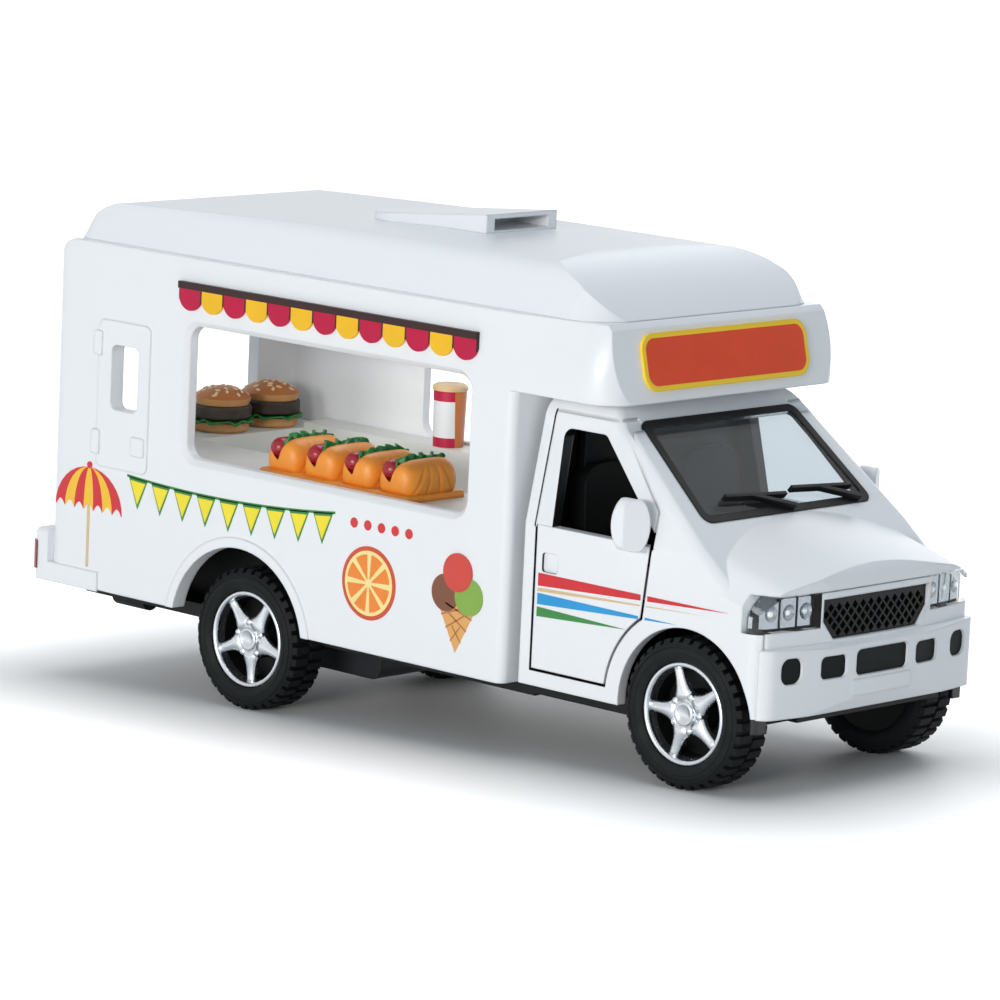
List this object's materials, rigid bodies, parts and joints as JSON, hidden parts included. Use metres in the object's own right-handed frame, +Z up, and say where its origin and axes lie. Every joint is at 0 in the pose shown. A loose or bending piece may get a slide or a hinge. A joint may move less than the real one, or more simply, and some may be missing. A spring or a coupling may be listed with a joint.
{
  "type": "toy food truck",
  "caption": "Toy food truck with a cast cab, opening cab doors, a kitchen box with open serving windows and play food inside, and free-rolling wheelsets.",
  "frame": {"origin": "middle of the bounding box in plan, on the ground under the tyres", "axes": "+X forward, +Y to the truck's left, +Z up"},
  "size_m": [0.1281, 0.0484, 0.0652],
  "materials": {
    "white_body": "moulded gloss white",
    "white_paint": "gloss white paint on a casting",
    "black_plastic": "moulded satin black",
    "grey_plastic": "moulded grey",
    "pale_grey_plastic": "moulded pale grey",
    "awning_paint": "printed crimson and yellow",
    "sign_paint": "printed orange-red with a yellow edge",
    "red_lamp": "clear red",
    "orange_plastic": "moulded orange",
    "red_food": "painted crimson",
    "bun_food": "painted bun brown",
    "patty_food": "painted dark brown",
    "green_food": "painted green",
    "cup_print": "printed white and crimson",
    "clear_lens": "clear moulding",
    "bright_chrome": "bright plated",
    "steel": "plain steel",
    "tyre_rubber": "soft black"
  },
  "bodies": {
    "truck": {"base_screws": "steel", "box_body": "white_body", "burger_buns": "bun_food", "burger_leaves": "green_food", "burger_patties": "patty_food", "cab_interior": "black_plastic", "cab_shell": "white_paint", "chassis": "black_plastic", "drink_cup": "cup_print", "front_fascia": "white_body", "grille": "black_plastic", "headlamp_lenses": "clear_lens", "headlamp_reflectors": "bright_chrome", "hinge_pins": "steel", "hot_dog_leaves": "green_food", "hot_dog_tray": "orange_plastic", "kitchen": "pale_grey_plastic", "pull_back_motor": "grey_plastic", "rear_bumper": "white_body", "roof": "white_body", "roof_vent": "white_body", "sausages": "red_food", "sign_panel": "sign_paint", "steering_wheel": "black_plastic", "tail_lamps": "red_lamp", "valances": "awning_paint", "windscreen": "clear_lens", "windscreen_edge": "black_plastic", "wipers": "black_plastic"},
    "front_wheelset": {"axle_front": "steel", "hub_front_left": "black_plastic", "hub_front_right": "black_plastic", "rim_front_left": "bright_chrome", "rim_front_right": "bright_chrome", "tyre_front_left": "tyre_rubber", "tyre_front_right": "tyre_rubber"},
    "rear_wheelset": {"axle_rear": "steel", "hub_rear_left": "black_plastic", "hub_rear_right": "black_plastic", "rim_rear_left": "bright_chrome", "rim_rear_right": "bright_chrome", "tyre_rear_left": "tyre_rubber", "tyre_rear_right": "tyre_rubber"},
    "door_left": {"door_left": "white_paint", "mirror_left": "white_body"},
    "door_right": {"door_right": "white_paint", "mirror_right": "white_body"}
  },
  "joints": [
    {"name": "front_wheelset_spin", "type": "hinge", "parent": "truck", "child": "front_wheelset", "pos_m": [0.04972, 0, 0.0092], "axis": [0, 1, 0], "continuous": true},
    {"name": "rear_wheelset_spin", "type": "hinge", "parent": "truck", "child": "rear_wheelset", "pos_m": [-0.02498, 0, 0.0092], "axis": [0, 1, 0], "continuous": true},
    {"name": "door_left_swing", "type": "hinge", "parent": "truck", "child": "door_left", "pos_m": [0.04477, 0.019, 0.02391], "axis": [-0.0459, 0, -0.9989], "range_deg": [0, 45]},
    {"name": "door_right_swing", "type": "hinge", "parent": "truck", "child": "door_right", "pos_m": [0.04477, -0.019, 0.02391], "axis": [0.0459, 0, 0.9989], "range_deg": [0, 45]}
  ]
}
